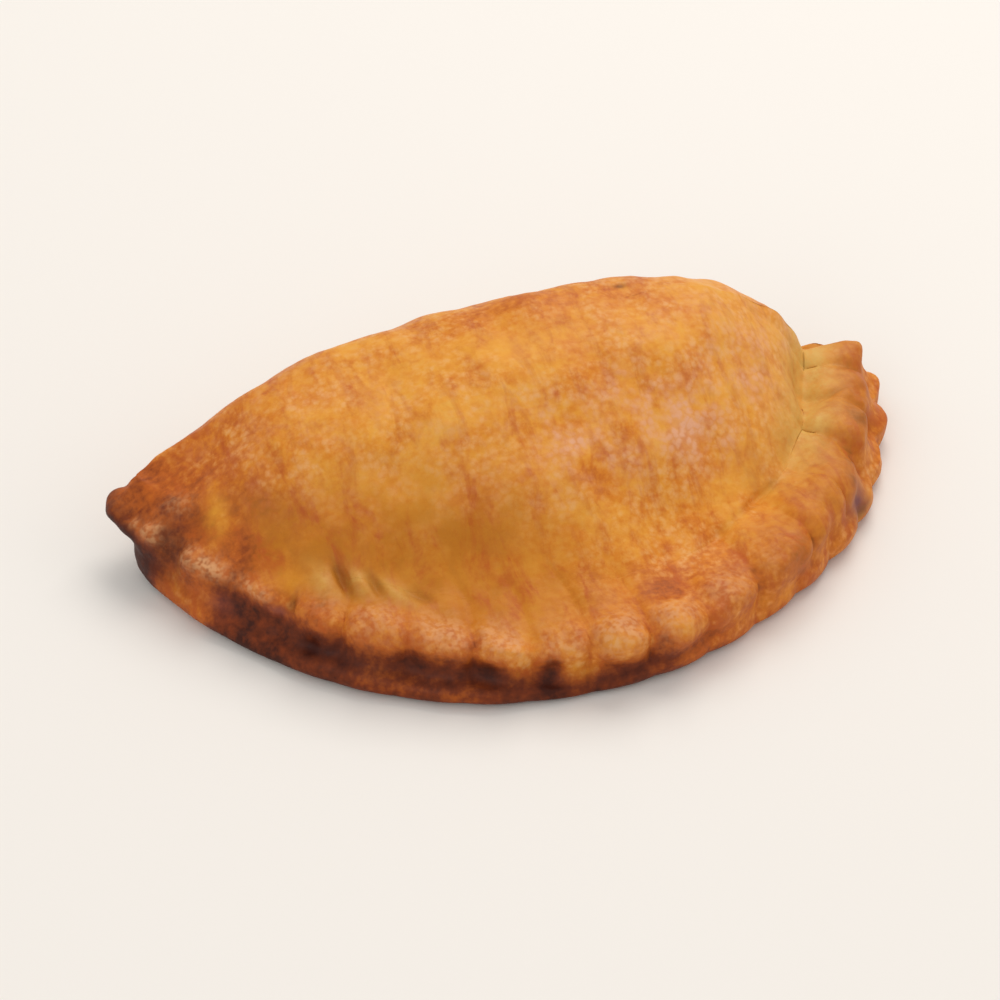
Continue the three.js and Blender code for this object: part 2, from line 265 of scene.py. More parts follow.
MARKS: tuple[Mark, ...] = (
    # Pits and seeps of filling under the left of the rim
    Mark((-49.6, -50.8, 5.2), 1.6, 1.2, (0.7, -0.7, 0.0), -1.4, Tint.STAIN_AND_SHADE, 0.9),
    Mark((-47.4, -52.2, 5.2), 5.0, 1.9, (0.7, -0.7, 0.0), -0.3, Tint.STAIN_AND_SHADE, 0.3),
    Mark((-51.3, -45.7, 10.7), 1.4, 1.0, (0.4, 0.4, 0.4), -1.3, Tint.STAIN_AND_SHADE, 1.0),
    Mark((-53.6, -44.2, 9.1), 1.8, 1.0, (0.6, -0.8, 0.0), 0.2, Tint.PLUM, 0.8),
    Mark((-61.9, -35.6, 6.2), 3.4, 1.8, (0.5, -0.8, 0.0), -0.3, Tint.PLUM, 0.4),
    Mark((-60.2, -36.7, 8.9), 4.0, 1.5, (0.5, -0.8, 0.0), -0.6, Tint.STAIN_AND_SHADE, 0.5),
    Mark((-57.6, -40.0, 7.8), 5.0, 2.4, (0.5, -0.8, 0.0), 0.0, Tint.BROWN_AND_SHADE, 0.14),
    # Slits and swellings where the dome meets the rim on the left, the slits darkened with painted
    # shade
    Mark((-42.1, -44.9, 13.6), 3.0, 0.9, (0.7, -4.4, -1.6), -1.5, Tint.STAIN_AND_SHADE, 0.6),
    Mark((-37.2, -48.8, 13.6), 2.4, 0.9, (0.8, -3.9, -0.8), -1.4, Tint.STAIN_AND_SHADE, 0.5),
    Mark((-30.3, -52.7, 12.2), 2.4, 1.0, (0.8, -0.6, -0.2), -0.9, Tint.STAIN_AND_SHADE, 0.3),
    Mark((-45.2, -45.6, 13.2), 3.4, 2.0, (0.3, -0.9, -0.3), 0.7, Tint.PALE, 0.7),
    Mark((-39.6, -47.4, 13.6), 3.0, 1.5, (0.2, -0.9, -0.3), 0.9, Tint.PALE, 0.8),
    Mark((-33.8, -51.4, 12.8), 3.2, 1.7, (0.6, -0.8, -0.2), 0.8, Tint.PALE, 0.7),
    Mark((-50.5, -41.5, 12.6), 3.5, 2.4, (0.7, -0.7, 0.0), 0.2, Tint.GOLD, 0.5),
    # Creases and straw-coloured folds where the dome meets the rim on the right, the creases
    # darkened with painted shade
    Mark((34.8, -47.0, 11.9), 5.4, 0.8, (0.84, 0.54, 0.0), -1.0, Tint.STAIN_AND_SHADE, 0.32),
    Mark((24.0, -54.0, 11.7), 6.0, 0.9, (0.84, 0.54, 0.0), -0.6, Tint.STAIN_AND_SHADE, 0.14),
    Mark((58.6, -16.0, 11.6), 4.4, 3.4, (0.2, 1.0, 0.0), 1.0, Tint.PALE, 0.4),
    Mark((57.1, -22.6, 11.2), 3.0, 2.4, (1.0, 0.3, 0.0), 0.9, Tint.PALE, 0.4),
    Mark((52.9, -31.6, 12.4), 3.6, 2.6, (1.0, 0.6, 0.0), 0.9, Tint.PALE, 0.5),
    Mark((59.4, -24.8, 12.6), 2.6, 0.8, (1.0, 0.2, 0.2), -0.9, Tint.STAIN_AND_SHADE, 0.25),
    Mark((55.4, -25.6, 10.4), 3.0, 0.9, (1.0, 0.1, 0.1), -0.9, Tint.STAIN_AND_SHADE, 0.22),
    Mark((51.8, -36.7, 12.5), 4.0, 0.9, (0.4, 0.9, 0.0), -0.6, Tint.STAIN_AND_SHADE, 0.14),
    # Spot on the crown
    Mark((21.8, -10.5, 35.8), 1.2, 0.7, (1.0, -0.2, 0.0), -0.5, Tint.STAIN_AND_SHADE, 0.8),
    # Bubbles and crumbly crust on the left tip, their pale tops partly a painted highlight
    Mark((-71.4, -16.9, 11.9), 1.1, 0.9, (1.0, -0.3, 0.0), 0.7, Tint.CRUMB_AND_HIGHLIGHT, 0.8),
    Mark((-70.0, -19.8, 12.3), 1.3, 1.0, (1.0, 0.0, 0.0), 0.8, Tint.CRUMB_AND_HIGHLIGHT, 1.0),
    Mark((-68.1, -20.9, 13.1), 1.0, 0.9, (1.0, 0.0, 0.0), 0.7, Tint.CRUMB_AND_HIGHLIGHT, 1.0),
    Mark((-69.4, -22.1, 11.9), 1.6, 1.1, (1.0, -0.6, 0.0), 0.7, Tint.CRUMB_AND_HIGHLIGHT, 0.9),
    Mark((-63.5, -19.6, 16.2), 3.2, 2.0, (1.0, -0.4, 0.0), 0.4, Tint.CRUMB_AND_HIGHLIGHT, 0.5),
    Mark((-64.7, -29.0, 11.8), 3.6, 1.8, (0.5, -0.8, 0.0), 0.6, Tint.CRUMB_AND_HIGHLIGHT, 0.7),
    Mark((-61.6, -32.6, 11.5), 3.8, 1.8, (0.5, -0.8, 0.0), 0.5, Tint.CRUMB_AND_HIGHLIGHT, 0.9),
    Mark((-56.3, -40.2, 11.2), 3.6, 1.1, (0.4, -0.9, 0.0), 0.6, Tint.CRUMB_AND_HIGHLIGHT, 0.9),
    # Smooth golden spot on the left, the hollows round it and under the tip darkened with painted
    # shade, and browner patches
    Mark((-58.5, -25.7, 17.0), 4.0, 2.4, (0.0, -0.8, -0.6), 0.2, Tint.GOLD, 1.0),
    Mark((-62.4, -23.7, 15.2), 3.4, 1.9, (0.3, -1.0, -0.2), -0.3, Tint.STAIN_AND_SHADE, 0.35),
    Mark((-66.5, -23.4, 12.6), 3.0, 2.0, (0.3, -1.0, 0.0), -0.6, Tint.STAIN_AND_SHADE, 0.5),
    Mark((-67.7, -24.8, 10.4), 3.6, 2.6, (0.3, -1.0, 0.0), -1.0, Tint.STAIN_AND_SHADE, 0.6),
    Mark((-69.0, -24.4, 7.2), 6.0, 3.6, (0.4, -0.9, 0.0), 0.0, Tint.STAIN_AND_SHADE, 0.62),
    Mark((-73.2, -15.4, 9.6), 4.4, 2.4, (0.1, -1.0, -0.2), 0.0, Tint.STAIN_AND_SHADE, 0.9),
    Mark((-62.0, -14.6, 18.0), 7.0, 4.5, (0.3, -1.0, 0.0), 0.0, Tint.BROWN_AND_SHADE, 0.12),
    Mark((-56.6, -31.4, 15.0), 5.6, 3.4, (0.6, -0.8, -0.2), 0.0, Tint.BROWN_AND_SHADE, 0.15),
    Mark((-52.0, -28.0, 19.4), 8.0, 4.4, (0.6, -0.7, 0.0), 0.0, Tint.BROWN_AND_SHADE, 0.2),
    Mark((-42.0, -38.0, 18.0), 12.0, 6.0, (0.8, -0.6, 0.0), 0.0, Tint.BROWN_AND_SHADE, 0.12),
    Mark((-65.0, -20.5, 14.5), 6.0, 4.0, (0.7, -0.9, -0.4), 0.0, Tint.BROWN_AND_SHADE, 0.22),
    # Patches on the dome; the haze patches are painted sheen on rosy granules
    Mark((12.0, -13.0, 37.0), 22.0, 7.0, (1.0, -0.1, 0.0), 0.0, Tint.BROWN_AND_SHADE, 0.14),
    Mark((-6.1, -19.6, 36.3), 8.0, 3.6, (1.0, -0.1, 0.0), 0.0, Tint.GOLD, 0.8),
    Mark((-28.0, -24.0, 33.0), 8.0, 4.0, (1.0, -0.2, 0.0), 0.0, Tint.GOLD, 0.35),
    Mark((3.0, -9.9, 37.2), 7.0, 3.0, (1.0, 0.0, 0.0), 0.0, Tint.BROWN_AND_SHADE, 0.18),
    Mark((2.0, -38.6, 28.4), 8.0, 4.0, (0.8, -0.5, -0.3), 0.0, Tint.HAZE_AND_SHEEN, 0.9),
    Mark((26.6, -40.0, 24.0), 8.0, 5.5, (0.8, -0.4, -0.3), 0.0, Tint.HAZE_AND_SHEEN, 1.0),
    Mark((18.0, -35.4, 29.4), 7.0, 4.5, (0.9, -0.3, 0.0), 0.0, Tint.HAZE_AND_SHEEN, 0.6),
    Mark((40.0, -30.0, 24.0), 5.0, 3.0, (0.4, -0.9, -0.3), 0.0, Tint.HAZE_AND_SHEEN, 0.6),
    Mark((-17.6, -44.0, 22.4), 5.0, 2.4, (0.2, -0.8, -0.6), 0.0, Tint.BROWN_AND_SHADE, 0.2),
    Mark((5.1, -46.4, 23.4), 6.0, 3.0, (0.9, -0.3, -0.4), 0.0, Tint.BROWN_AND_SHADE, 0.22),
    # Notches under the front of the rim, pits darkened with painted shade
    Mark((-34.2, -62.0, 7.0), 3.8, 2.8, (0.9, -0.4, -0.3), -0.4, Tint.BROWN_AND_SHADE, 0.2),
    Mark((-24.2, -67.9, 6.0), 3.0, 2.4, (1.0, -0.3, 0.0), -0.8, Tint.BROWN_AND_SHADE, 0.3),
    Mark((-13.4, -71.0, 5.6), 3.6, 2.4, (0.2, 0.2, 1.0), -1.0, Tint.BROWN_AND_SHADE, 0.6),
    Mark((-3.2, -73.3, 6.2), 3.6, 2.8, (1.0, 0.0, 0.0), -0.4, Tint.BROWN_AND_SHADE, 0.26),
    Mark((5.8, -73.6, 9.4), 2.2, 1.6, (0.2, 0.2, 1.0), -0.6, Tint.BROWN_AND_SHADE, 0.26),
    Mark((36.1, -62.2, 7.0), 3.4, 2.2, (0.1, -0.2, -1.0), -0.2, Tint.BROWN_AND_SHADE, 0.14),
    # Smooth orange patch and a golden pillow on the front of the rim
    Mark((10.0, -63.2, 11.6), 6.0, 4.0, (0.9, 0.4, 0.0), 0.0, Tint.BROWN_AND_SHADE, 0.26),
    Mark((10.0, -63.2, 11.6), 6.0, 4.0, (0.9, 0.4, 0.0), 0.0, Tint.CRUMB_AND_HIGHLIGHT, -0.8),
    Mark((-2.7, -73.2, 11.0), 3.0, 2.0, (1.0, 0.0, 0.0), 0.2, Tint.GOLD, 0.6),
    # Filling seeped out on the right, and orange notches between the last crimps
    Mark((53.8, -48.0, 6.6), 4.6, 3.2, (0.6, 0.7, 0.0), 0.0, Tint.PLUM, 1.2),
    Mark((54.4, -48.6, 4.2), 2.4, 1.4, (0.6, 0.7, 0.0), -0.4, Tint.STAIN_AND_SHADE, 0.6),
    Mark((52.8, -47.6, 11.4), 2.2, 1.6, (0.2, 1.0, 0.0), -0.5, Tint.BROWN_AND_SHADE, 0.34),
    Mark((54.9, -42.7, 11.2), 2.6, 1.7, (0.4, 0.9, 0.0), -0.4, Tint.BROWN_AND_SHADE, 0.26),
    Mark((60.3, -33.9, 13.4), 2.6, 1.8, (0.9, -0.4, 0.0), -0.6, Tint.BROWN_AND_SHADE, 0.26),
    Mark((65.6, -19.0, 11.6), 3.6, 2.2, (0.0, 1.0, 0.0), 0.0, Tint.BROWN_AND_SHADE, 0.16),
    Mark((64.8, -12.8, 13.5), 3.2, 2.0, (0.2, 1.0, 0.0), 0.0, Tint.BROWN_AND_SHADE, 0.08),
)


@dataclass(frozen=True)
class Side:
    """Points spaced along one side of the outline, their distances from its start, its length."""

    points: Array
    distance: Array
    length: float


@dataclass
class Outline:
    """Plan of the folded dough: the disc's arc and the fold's arc, met at rounded tips."""

    disc_radius: float = 74.0
    left_tip: float = math.radians(-173.9)
    right_tip: float = math.radians(-8.7)
    fold_bulge: float = 14.5
    tip_sharpness: float = 20.0

    def at(self, angle: Array) -> Array:
        """Points of the outline.

        The radius is the smaller of the disc's and the fold arc's, rounded where they meet: each
        to the power of minus the sharpness, added, and brought back by the inverse power.

        Args:
            angle: directions from the disc's centre, radians.

        Returns:
            Plan points, mm.
        """
        tips = [
            self.disc_radius * np.array([math.cos(a), math.sin(a)])
            for a in (self.left_tip, self.right_tip)
        ]
        half = np.linalg.norm(tips[1] - tips[0]) / 2
        fold_radius = (half**2 + self.fold_bulge**2) / (2 * self.fold_bulge)
        chord = (tips[1] - tips[0]) / (2 * half)
        backward = np.array([-chord[1], chord[0]])
        centre = (tips[0] + tips[1]) / 2 + backward * (self.fold_bulge - fold_radius)
        ray = np.stack([np.cos(angle), np.sin(angle)], axis=-1)
        reach = ray @ centre
        fold = np.maximum(reach + np.sqrt(fold_radius**2 - centre @ centre + reach**2), 1.0)
        power = -self.tip_sharpness
        radius = (self.disc_radius**power + fold**power) ** (1 / power)
        return ray * radius[:, None]

    def side(self, start: float, stop: float, count: int) -> Side:
        """Points at equal distances along one side, the last one left out.

        Args:
            start: direction of the first point, radians.
            stop: direction of the side's end, radians.
            count: how many points.

        Returns:
            The side.
        """
        fine = self.at(np.linspace(start, stop, 3001))
        run = np.concatenate([[0.0], np.cumsum(np.linalg.norm(np.diff(fine, axis=0), axis=1))])
        distance = run[-1] * np.arange(count) / count
        points = np.stack([np.interp(distance, run, fine[:, k]) for k in range(2)], axis=-1)
        return Side(points, distance, float(run[-1]))


@dataclass
class Rim:
    """Crimped edge: sizes at seven equal steps from the left tip to the right tip, in mm."""

    width: tuple[float, ...] = (3.5, 11.5, 15.4, 14.7, 14.3, 17, 15.3)
    valley_height: tuple[float, ...] = (17.2, 14.4, 11, 10.5, 9.8, 8.8, 12)
    crest_height: tuple[float, ...] = (13.4, 11.8, 11.5, 11.3, 11.8, 12.6, 13.4)
    edge_height: tuple[float, ...] = (9.8, 9.2, 8.9, 8.2, 8.4, 9.3, 9.4)
    edge_inset: tuple[float, ...] = (-3, 5.6, 4.4, 0.5, 1.8, 5.2, 4.2)
    groove_height: tuple[float, ...] = (8, 5.2, 4.8, 4.6, 5, 6.2, 6.2)
    groove_depth: tuple[float, ...] = (0.8, 0.5, 1.6, 1.0, 0.1, 0.0, 0.0)
    lip_height: tuple[float, ...] = (4, 3, 2.6, 2.4, 3.2, 4.6, 4.8)
    lip_reach: tuple[float, ...] = (0.6, -0.7, 1.1, 0.7, -2.4, -0.4, -0.2)
    crimp_depth: tuple[float, ...] = (0.2, 0.6, 1.0, 1.1, 1.0, 1.1, 1.1)
    pleat_depth: tuple[float, ...] = (0.1, 0.4, 0.8, 0.2, 0.2, 1.0, 1.2)
    lobe_depth: tuple[float, ...] = (0.1, 0.2, 0.3, 0.5, 1.2, 2.0, 2.0)
    crimps: tuple[float, ...] = (
        *(15, 28, 40.5, 53.5, 66, 77.5, 89, 98, 108.5),
        *(120, 131.5, 146, 160.5, 172.5, 187, 199.5, 212, 224),
    )
    fillet_height: tuple[float, ...] = (0.0, 0.3, 1.0, 1.6, 1.6, 0.8, 0.3)
    fillet_reach: float = 4.6
    crimp_lean: float = 0.02
    crimp_roundness: float = 3.0
    crimp_swell: float = 0.35
    lobe_pitch: float = 11.25
    lobe_start: float = 7.0
    lobe_roundness: float = 2.0
    tip_draw: float = 5.0
    tip_draw_middle: float = 3.0
    tip_draw_half: float = 5.5
    base_inset: float = 7.0

    def crimp_number(self, distance: Array) -> Array:
        """Number of the crimp at each distance along the rim, run on straight past both ends."""
        centres = np.array(self.crimps)
        i = np.clip(np.searchsorted(centres, distance, side="right") - 1, 0, len(centres) - 2)
        return i + (distance - centres[i]) / (centres[i + 1] - centres[i])

    @staticmethod
    def ridge_wave(number: Array, roundness: float) -> Array:
        """A rounded ridge at each whole number and a sharp notch half-way between.

        The wave is k / (k + 1) less the distance from the ridge to the power of k, so its mean
        is zero.

        Args:
            number: places, a whole number on each ridge.
            roundness: the power k; the higher it is, the flatter the ridges and the narrower the
                notches.

        Returns:
            The wave, one from top to bottom.
        """
        off = np.abs(number - np.round(number)) * 2.0
        return roundness / (roundness + 1.0) - off**roundness

    def fillet(self, q: Array, away: Array) -> Array:
        """Fills the corner between dome and rim: a bell of the distance away over the reach."""
        return along(self.fillet_height, q) * band(0.0, self.fillet_reach, away)

    def crimped(self, crimp: Array, control: Array) -> Array:
        """The crimps' relief at a control row: the ridge wave, leant by row, swollen by crimp."""
        swell = 1.0 + self.crimp_swell * np.sin(2.4 * crimp + 0.7)
        leant = crimp + self.crimp_lean * (control - 3.0)
        return swell * self.ridge_wave(leant, self.crimp_roundness)

    def section(self, q: Array, distance: Array) -> tuple[Array, Array]:
        """Fourteen control rows from the valley over the crest to the edge, groove, lip and foot.

        Each row is its plain reach and height, plus its share of the crimp, pleat and lobe waves.

        Args:
            q: share of the way from the left tip to the right tip, one for each column.
            distance: mm along the rim from the left tip, one for each column.

        Returns:
            Reach from the outline and height, each rows by columns, mm.
        """
        width = along(self.width, q)
        valley = along(self.valley_height, q)
        crest = along(self.crest_height, q)
        top = along(self.edge_height, q)
        drawn = self.tip_draw * band(self.tip_draw_middle, self.tip_draw_half, distance)
        edge = -along(self.edge_inset, q)
        groove = along(self.groove_height, q)
        cut = along(self.groove_depth, q)
        lip = along(self.lip_height, q)
        reach = along(self.lip_reach, q) - drawn
        rise = crest - valley
        zero = np.zeros_like(q)
        rows = [
            (-width, valley, 0.0, 0.1, 1.0, 0.0),
            (mix(-width, edge, 0.18), valley + 0.2 * rise, 0.1, 0.3, 0.9, 0.0),
            (mix(-width, edge, 0.42), valley + 0.75 * rise, 0.1, 0.15, 0.7, 0.0),
            (mix(-width, edge, 0.66), crest + 0.4, 0.2, 0.4, 0.3, 0.0),
            (mix(-width, edge, 0.86), crest - 0.4, 0.6, 0.85, 0.0, 0.0),
            (edge + 0.2, 0.6 * crest + 0.4 * top, 1.0, 0.9, 0.0, 0.0),
            (edge + 0.5, top - 0.2, 1.0, 0.6, 0.0, 0.1),
            (mix(edge, reach, 0.2) - 0.3 * cut, (top + groove) / 2, 0.85, 0.2, 0.0, 0.25),
            (mix(edge, reach, 0.55) - cut, groove, 0.5, 0.0, 0.0, 0.5),
            (mix(edge, reach, 0.75) - 0.3 * cut, (groove + lip + 1) / 2, 0.15, 0.0, 0.0, 0.8),
            (reach, lip + 0.6, 0.0, 0.0, 0.0, 1.0),
            (reach, 0.4 * lip, 0.0, 0.0, 0.0, 0.8),
            (reach - 2.2, zero, 0.0, 0.0, 0.0, 0.2),
            (reach - self.base_inset, zero, 0.0, 0.0, 0.0, 0.0),
        ]
        plain = np.array([[row[0], row[1]] for row in rows])
        out, up, pleat, lobe = np.array([row[2:] for row in rows]).T[:, :, None]
        crimped = self.crimped(self.crimp_number(distance), np.arange(len(rows))[:, None])
        lobe_number = (distance - self.lobe_start) / self.lobe_pitch
        lobes = self.ridge_wave(lobe_number, self.lobe_roundness)
        depth = along(self.crimp_depth, q)
        pleated = along(self.pleat_depth, q)
        reach_rows = plain[:, 0] + 1.5 * depth * out * crimped
        reach_rows += along(self.lobe_depth, q) * lobe * lobes
        height_rows = plain[:, 1] + (1.3 * depth * up + 0.9 * pleated * pleat) * crimped
        return reach_rows, height_rows


@dataclass
class Fold:
    """Folded edge at the back: a rounded side with no rim, in mm."""

    height: float = 13.5
    undercut: float = 11.0
    rise_left: float = 12.0
    rise_right: float = 26.0
    turn_end: float = 0.86
    base_run: float = 30.0

    def section(self, count: int) -> tuple[Array, Array]:
        """A quarter turn from its widest line down to the base, then straight in.

        Args:
            count: how many control rows.

        Returns:
            Reach from the outline and height of each row, mm.
        """
        t = np.arange(count) / (count - 1)
        turn = np.minimum(t / self.turn_end, 1.0) * math.pi / 2
        reach = -self.undercut * (1 - np.cos(turn))
        reach -= self.base_run * np.maximum(t - self.turn_end, 0.0)
        return reach, self.height * (1 - np.sin(turn))


@dataclass
class Dome:
    """Filled dome: its ridge in plan and height, and how its sides fall, in mm."""

    ridge_left: tuple[float, float] = (-65.9, -7.7)
    ridge_right: tuple[float, float] = (19.5, -14.0)
    spread_left: tuple[float, float] = (-58.0, -18.0)
    spread_right: tuple[float, float] = (46.0, -13.0)
    ridge_evenness: float = 0.06
    row_evenness: float = 0.2
    ridge_height: tuple[float, ...] = (17.8, 24.9, 32.3, 34.2, 35.2, 38.4, 37.2)
    crown: tuple[float, ...] = (2.2, 2.5, 2.6, 2.5, 2.6, 2.2, 1.8, 1.9, 2.3, 2.3, 2.3, 2.2)
    foot: tuple[float, ...] = (0.8, 1, 1.3, 1.3, 1.3, 0.6, 0.52, 0.5, 0.5, 0.5, 0.52, 0.6)

    def shares(self, count: int) -> Array:
        """Shares of the way down for a count of rows: a sine, closer and closer to the rim."""
        u = np.arange(count) / count
        return mix(np.sin(u * math.pi / 2), u, self.row_evenness)

    def rows(self, q: Array, turn: Array, valley: Array, relief: Array, count: int) -> Array:
        """Rows from the ridge to the valley.

        Height falls as (1 - t to the crown) to the foot, with t the share of the way down in
        plan. The ridge's slope carries on past it and fades by (1 - t) squared, and the relief of
        the valley comes in by the eighth power of t.

        Args:
            q: share of the way from the left tip to the right tip, one for each column.
            turn: share of a full turn, one for each column.
            valley: where each column meets the rim, without the crimps' relief.
            relief: what the crimps add there.
            count: how many rows.

        Returns:
            Rows by columns by three, mm.
        """
        even = self.ridge_evenness
        share = even * q + (1 - even) * (0.5 - 0.5 * np.cos(math.pi * q))
        left, right = np.array(self.ridge_left), np.array(self.ridge_right)
        line = right - left
        length = float(np.linalg.norm(line))
        ridge = left + line * share[:, None]
        height = along(self.ridge_height, share)
        before, after = np.maximum(share - 0.001, 0.0), np.minimum(share + 0.001, 1.0)
        climb = along(self.ridge_height, after) - along(self.ridge_height, before)
        slope = climb / ((after - before) * length)

        t = self.shares(count)[:, None]
        plan = mix(ridge[None], valley[None, :, :2], t[..., None])
        fall = (1 - t ** around(self.crown, turn)) ** around(self.foot, turn)
        tilt = slope * ((plan - ridge) @ (line / length)) * (1 - t) ** 2
        z = mix(valley[:, 2], height, fall) + tilt
        return np.concatenate([plan, z[..., None]], axis=-1) + relief * t[..., None] ** 8


@dataclass(frozen=True)
class Grid:
    """The surface's columns.

    points are in mm; control numbers the rows, 0 where dome and rim meet; distance is in mm along
    the rim; rimness is 1 on the crimped rim and 0 on the fold; crimp is the crimps' wave.
    """

    points: Array
    control: Array
    distance: Array
    rimness: Array
    crimp: Array


@dataclass(frozen=True)
class BrowningAndShade:
    """How much each place is browned over the ground, from 0, pale, to 1, burnt. The lip, the
    foot, the notches and the tip's underside carry painted shade as well.
    """

    ground: float = 0.22
    left_end: float = 0.19
    low_down: float = 0.05
    dome_left: float = -0.03
    dome_right: float = -0.05
    crest: float = 0.10
    # Painted shade in the notches between the crimps, more on the right
    notch: float = 0.22
    right_notch_shade: float = 0.2
    right_crest: float = 0.10
    # The lip under the rim: baked darker, and painted shade
    lip: float = 0.38
    right_lip: float = -0.26
    left_lip: float = -0.36
    # Painted shadow along the foot, darker towards the floor
    foot: float = 0.12
    tip: float = 0.14
    # Painted shade under the raised left tip
    tip_underside_shade: float = 0.34
    # More painted shade on the front of the lip
    front_lip_shade: float = 0.09
    seeped_lip: float = 0.06
    fold_foot: float = 0.12
    valley: float = 0.05
    last_crests: float = -0.1


@dataclass
class Turnover:
    """The whole pastry: a closed surface with its fine relief and its tints."""

    outline: Outline = field(default_factory=Outline)
    rim: Rim = field(default_factory=Rim)
    fold: Fold = field(default_factory=Fold)
    dome: Dome = field(default_factory=Dome)
    browning_and_shade: BrowningAndShade = BrowningAndShade()
    front_columns: int = 420
    dome_rows: int = 88
    rim_rows: int = 62
    base_rings: int = 6
    least_tip_fade: float = 8.0
    soft_reach: tuple[float, ...] = (3.0, 3.0, 3.0, 3.0, 2.8, 2.2, 2.0)
    lump_sizes: tuple[float, ...] = (41, 29, 21, 15.5, 11)
    lump_depth: float = 0.013
    relief_mean: float = 0.25
    relief_fade: tuple[float, float] = (0.3, 4.0)
    upright_reach: tuple[float, float] = (4.0, 0.8)
    swellings: tuple[tuple[float, float, int], ...] = (
        (0.22, 9.0, 1),
        (0.16, 5.2, 2),
        (0.09, 3.0, 3),
    )
    bubble_height: float = 0.25
    bubble_size: float = 6.0

    def grid(self) -> Grid:
        """Columns of the smooth surface: along the crimped front, then back along the fold.

        The rim's inner line stays concentric with the disc, so its reach fades as the outline
        draws in from the disc; its heights fade along the fold. Each column's control rows are
        joined by a cubic B-spline.

        Returns:
            The grid, mm round the disc's centre.
        """
        shape, rim = self.outline, self.rim
        back_count = self.front_columns // 2
        front = shape.side(shape.left_tip, shape.right_tip, self.front_columns)
        back = shape.side(shape.right_tip, shape.left_tip + 2 * math.pi, back_count)
        left = back.length - back.distance
        edge = np.concatenate([front.points, back.points])
        q = np.concatenate([front.distance / front.length, left / back.length])
        turn = np.concatenate([q[: self.front_columns] / 2, 0.5 + back.distance / back.length / 2])
        run_on = np.where(back.distance < left, front.length + back.distance, -left)
        distance = np.concatenate([front.distance, run_on])
        rise = np.minimum(
            ease(0, self.fold.rise_left, left), ease(0, self.fold.rise_right, back.distance)
        )
        height_share = np.concatenate([np.ones(self.front_columns), 1 - rise])

        spread = mix(np.array(self.dome.spread_left), np.array(self.dome.spread_right), q[:, None])
        outward = unit(edge - spread)
        fade = np.maximum(along(rim.width, q), self.least_tip_fade)
        drawn_in = (shape.disc_radius - np.linalg.norm(edge, axis=1)) / fade
        reach_share = np.maximum(1 - drawn_in / 1.5, 0.0) ** 1.5

        reach, height = rim.section(q, distance)
        fold_reach, fold_height = self.fold.section(len(reach))
        reach = mix(fold_reach[:, None], reach, reach_share)
        height = np.maximum(mix(fold_height[:, None], height, height_share), 0.0)
        rimness = height_share * reach_share
        height += rimness * rim.fillet(q, reach + along(rim.width, q)) * ease(2, 8, height)
        controls = np.concatenate(
            [edge + reach[..., None] * outward, height[..., None]], axis=-1
        )
        first, last = controls[:1], controls[-1:]
        padded = np.concatenate([first, first, controls, last, last])
        spans = len(padded) - 3
        x = np.linspace(0, spans, self.rim_rows)
        i = np.minimum(np.floor(x).astype(int), spans - 1)
        weights = spline_weights(x - i)
        rim_points = sum(weights[k][:, None, None] * padded[i + k] for k in range(4))

        inner = edge - (along(rim.width, q) * reach_share)[:, None] * outward
        inner_height = mix(self.fold.height, along(rim.valley_height, q), height_share)
        valley = np.concatenate([inner, inner_height[:, None]], axis=1)
        relief = rim_points[0] - valley
        relief[:, 2] -= rimness * rim.fillet(q, np.zeros_like(q))
        dome_points = self.dome.rows(q, turn, valley, relief, self.dome_rows)
        away = np.linalg.norm(dome_points[..., :2] - inner, axis=-1)
        dome_points[..., 2] += rimness * rim.fillet(q, away)

        points = np.concatenate([dome_points, rim_points])
        points = self.soften(points, along(self.soft_reach, q), rimness)

        fall = self.dome.shares(self.dome_rows)
        control = np.concatenate([-20.0 * (1 - fall), x - 1.0])[:, None]
        crimp = rim.crimped(rim.crimp_number(distance), control)
        return Grid(
            points=points,
            control=control,
            distance=distance[None, :],
            rimness=(height_share * np.minimum(reach_share * 1.2, 1.0))[None, :],
            crimp=crimp,
        )

    def soften(self, points: Array, reach: Array, share: Array) -> Array:
        """Rounds the corner where the dome meets the rim.

        Near that row each point is drawn to the mean of its own column, weighted by a bell of the
        distance along the column over the reach.

        Args:
            points: rows by columns by three, mm.
            reach: half width of the bell for each column, mm.
            share: how much each column is rounded, 0 to 1.

        Returns:
            The rounded points.
        """
        steps = np.linalg.norm(np.diff(points, axis=0), axis=-1)
        run = np.concatenate([np.zeros_like(steps[:1]), np.cumsum(steps, axis=0)])
        run -= run[self.dome_rows]
        length = np.gradient(run, axis=0)
        mean = np.empty_like(points)
        for i, here in enumerate(run):
            weight = band(0.0, 1.0, (run - here) / reach) * length
            mean[i] = (weight[..., None] * points).sum(0) / weight.sum(0)[:, None]
        near = share * band(0.0, 2.5, run / reach)
        return mix(points, mean, near[..., None])

    def normals(self, points: Array) -> Array:
        """Outward normals of the grid: the cross of the step down and the step aside.

        Args:
            points: rows by columns by three.

        Returns:
            Unit normals of the same shape, turned straight up near the ridge.
        """
        down = np.empty_like(points)
        down[1:-1] = points[2:] - points[:-2]
        down[-1] = points[-1] - points[-2]
        down[0] = points[1] - points[0]
        aside = np.roll(points, -1, axis=1) - np.roll(points, 1, axis=1)
        normals = unit(np.cross(down, aside))
        upright = ease(*self.upright_reach, np.linalg.norm(points - points[0], axis=-1))[..., None]
        return unit(mix(normals, np.array([0.0, 0.0, 1.0]), upright))

    def lumps(self, points: Array) -> Array:
        """Slow unevenness: a sum of sine waves of falling size that run in spread directions."""
        total = np.zeros(points.shape[:-1])
        for k, size in enumerate(self.lump_sizes):
            way = (math.cos(2.4 * k), math.sin(2.4 * k), 0.6 * math.sin(1.7 * k + 1))
            phase = 1.3 * k * k + 0.5
            total += self.lump_depth * size * np.sin(2 * math.pi * (points @ way) / size + phase)
        return total

